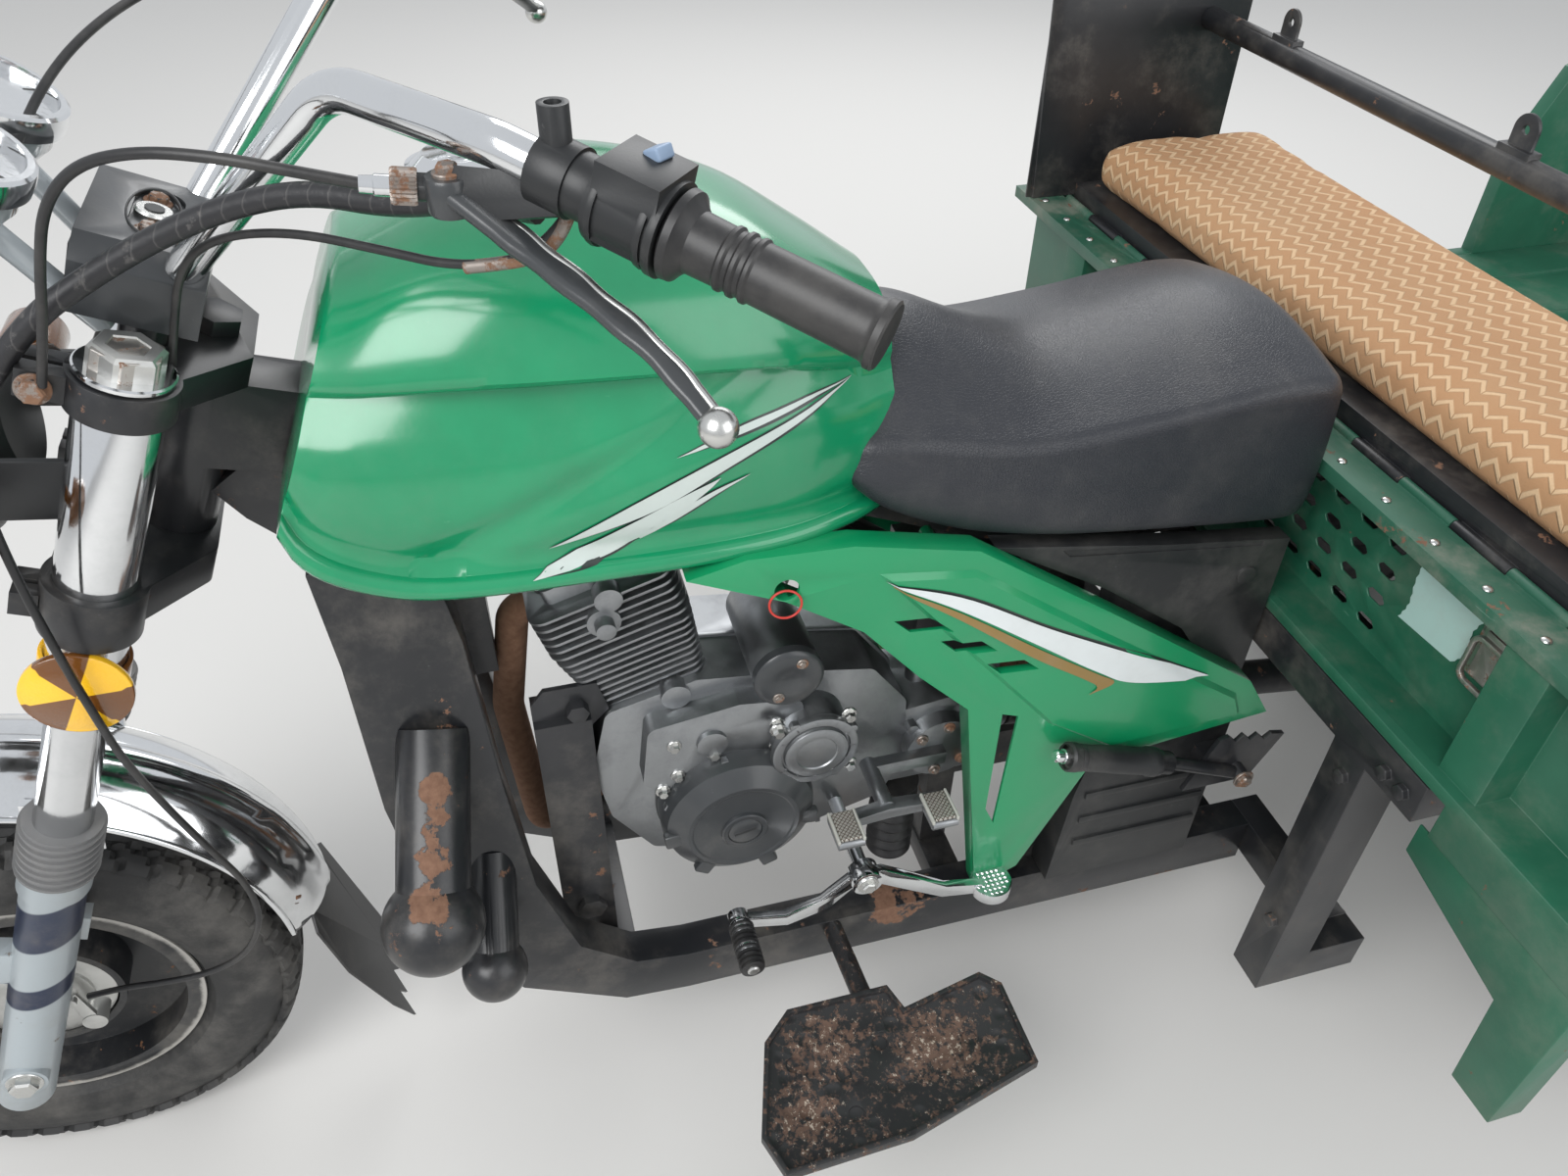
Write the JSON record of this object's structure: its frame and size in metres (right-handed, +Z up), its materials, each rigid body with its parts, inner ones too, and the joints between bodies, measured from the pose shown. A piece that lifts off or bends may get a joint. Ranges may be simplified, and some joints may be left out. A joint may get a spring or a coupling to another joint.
{
  "type": "cargo motor tricycle",
  "caption": "Cargo motor tricycle: one steered front wheel, air-cooled engine, saddle, passenger bench and open load bed on a leaf-sprung rear axle.",
  "frame": {"origin": "on the ground, at the centre of the vehicle's outer box", "axes": "+Z up, the front towards -Y, the vehicle's left side towards +X"},
  "size_m": [1.25, 3.42, 1.2913],
  "materials": {
    "alloy": "cast, satin",
    "amber": "gloss",
    "bed_green": "satin, scratched",
    "black_paint": "satin, chipped",
    "black_plastic": "matte, grained",
    "chrome": "polished, pitted",
    "cushion_cloth": "woven",
    "dial": "gloss",
    "fork_silver": "satin",
    "green_paint": "gloss, worn",
    "green_plastic": "gloss",
    "red_lens": "gloss",
    "rubber": "matte",
    "rusty_pipe": "rusted",
    "steel": "plain, rusty",
    "tyre": "matte",
    "vinyl": "grained"
  },
  "bodies": {
    "root": {"main_frame": "black_paint", "crash_guards": "black_paint", "engine_case": "alloy", "engine_barrel": "alloy", "exhaust": "rusty_pipe", "gearbox": "alloy", "engine_mount": "black_paint", "foot_levers": "chrome", "brake_pedal": "black_paint", "carburettor": "alloy", "rubber_hoses": "rubber", "fuel_tank": "green_paint", "saddle": "vinyl", "side_covers": "green_plastic", "black_covers": "black_plastic", "footplates": "black_paint", "handbrake": "black_paint", "rear_chassis": "black_paint", "leaf_springs": "black_paint", "rear_axle": "black_paint", "drive_shaft": "black_paint", "bed_floor": "bed_green", "bed_front": "bed_green", "bench_box": "bed_green", "bench_ends": "black_paint", "bench_rail": "black_paint", "side_boards": "bed_green", "rear_fenders": "bed_green", "tail_lamps": "red_lens", "tank_cap": "chrome", "bed_legs": "black_paint", "bed_latches": "steel"},
    "bench_lid": {"bench_lid": "black_paint", "bench_cushion": "cushion_cloth"},
    "tailgate": {"tailgate": "bed_green"},
    "steering": {"lower_yoke": "black_paint", "upper_yoke": "black_paint", "fork_tubes": "chrome", "fork_hardware": "steel", "fork_legs": "fork_silver", "front_signals": "amber", "front_brake_plate": "alloy", "handlebar": "chrome", "clamp_cover": "black_plastic", "grips": "rubber", "switches": "black_plastic", "hand_levers": "black_paint", "gauges": "dial", "headlamp": "black_plastic", "front_mudguard": "chrome", "mudflap": "rubber", "control_cables": "rubber"},
    "front_wheel": {"front_rim": "black_paint", "front_tyre": "tyre"},
    "rear_wheel_left": {"rear_rim_left": "black_paint", "rear_tyre_left": "tyre"},
    "rear_wheel_right": {"rear_rim_right": "black_paint", "rear_tyre_right": "tyre"}
  },
  "joints": [
    {"name": "steering", "type": "hinge", "parent": "root", "child": "steering", "pos_m": [0, -1.09309, 0.93986], "axis": [0, 0.3987, 0.9171], "range_deg": [-38, 38]},
    {"name": "front_wheel_spin", "type": "hinge", "parent": "steering", "child": "front_wheel", "pos_m": [0, -1.438, 0.272], "axis": [1, 0, 0], "continuous": true},
    {"name": "rear_wheel_left_spin", "type": "hinge", "parent": "root", "child": "rear_wheel_left", "pos_m": [0.52, 0.762, 0.284], "axis": [1, 0, 0], "continuous": true},
    {"name": "rear_wheel_right_spin", "type": "hinge", "parent": "root", "child": "rear_wheel_right", "pos_m": [-0.52, 0.762, 0.284], "axis": [1, 0, 0], "continuous": true},
    {"name": "bench_lid_hinge", "type": "hinge", "parent": "root", "child": "bench_lid", "pos_m": [0, 0.024, 0.83615], "axis": [1, 0, 0], "range_deg": [0, 30]},
    {"name": "tailgate_hinge", "type": "hinge", "parent": "root", "child": "tailgate", "pos_m": [0, 1.701, 0.644], "axis": [-1, 0, 0], "range_deg": [0, 170]}
  ]
}
